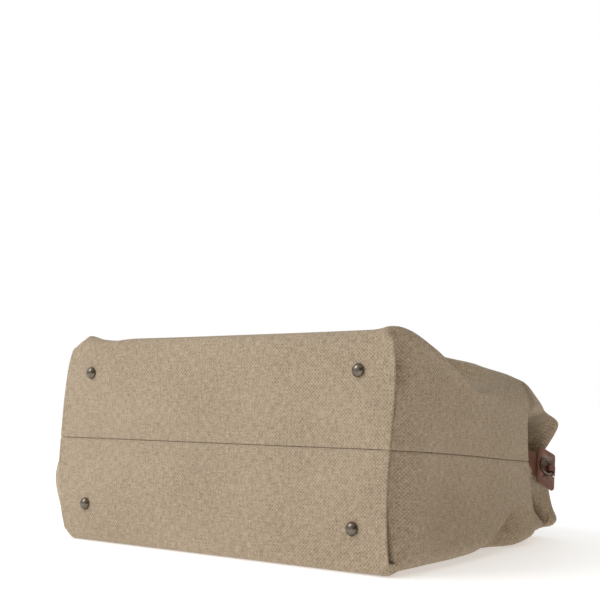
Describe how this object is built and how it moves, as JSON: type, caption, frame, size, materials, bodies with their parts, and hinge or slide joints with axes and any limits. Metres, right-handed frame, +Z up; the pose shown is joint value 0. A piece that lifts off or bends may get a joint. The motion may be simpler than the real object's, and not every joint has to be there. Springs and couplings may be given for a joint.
{
  "type": "satchel bag",
  "caption": "Soft canvas satchel lying on its back panel, with a flat studded base, open mouth, rolled leather handles and leather ring tabs at the ends.",
  "frame": {"origin": "on the surface the bag lies on, under the middle of the whole object's box", "axes": "+X along the bag's width to the end at its right seen from the base, +Y from the base to the mouth, +Z up, so the front panel is on top and the back panel underneath"},
  "size_m": [0.452, 0.4348, 0.2041],
  "materials": {
    "canvas": "washed heavy cotton canvas, matt",
    "lining": "plain cotton twill, matt",
    "board": "stiff plain sheet",
    "leather": "worn brown cowhide, satin",
    "metal": "antique nickel plate, dark in the hollows"
  },
  "bodies": {
    "bag": {"front_canvas": "canvas", "front_lining": "lining", "front_facing": "canvas", "back_canvas": "canvas", "back_lining": "lining", "back_facing": "canvas", "base_board": "board", "base_lining": "lining", "foot_front_right": "metal", "foot_washer_front_right": "metal", "foot_back_right": "metal", "foot_washer_back_right": "metal", "foot_front_left": "metal", "foot_washer_front_left": "metal", "foot_back_left": "metal", "foot_washer_back_left": "metal", "snap_stud": "metal", "snap_stud_washer": "metal", "snap_socket": "metal", "snap_socket_washer": "metal", "front_chape_right": "leather", "front_rivet_right": "metal", "front_chape_left": "leather", "front_rivet_left": "metal", "back_chape_right": "leather", "back_rivet_right": "metal", "back_chape_left": "leather", "back_rivet_left": "metal", "end_plate_right": "leather", "end_tongue_right": "leather", "end_keeper_right": "leather", "end_rivet_right": "metal", "end_plate_left": "leather", "end_tongue_left": "leather", "end_keeper_left": "leather", "end_rivet_left": "metal"},
    "front_handle": {"front_handle": "leather", "front_ring_right": "metal", "front_ring_left": "metal"},
    "back_handle": {"back_handle": "leather", "back_ring_right": "metal", "back_ring_left": "metal"},
    "right_ring": {"end_ring_right": "metal"},
    "left_ring": {"end_ring_left": "metal"}
  },
  "joints": [
    {"name": "front_handle_swing", "type": "hinge", "parent": "bag", "child": "front_handle", "pos_m": [0, 0.10403, 0.11], "axis": [1, 0, 0], "range_deg": [0, 180]},
    {"name": "back_handle_swing", "type": "hinge", "parent": "bag", "child": "back_handle", "pos_m": [0, 0.10405, 0.00812], "axis": [1, 0, 0], "range_deg": [0, 68]},
    {"name": "right_ring_swing", "type": "hinge", "parent": "bag", "child": "right_ring", "pos_m": [0.22136, 0.08318, 0.07023], "axis": [-0.1733, 0.5049, 0.8456], "range_deg": [0, 150]},
    {"name": "left_ring_swing", "type": "hinge", "parent": "bag", "child": "left_ring", "pos_m": [-0.19966, 0.08318, 0.07023], "axis": [-0.1733, -0.5049, -0.8456], "range_deg": [0, 150]}
  ]
}
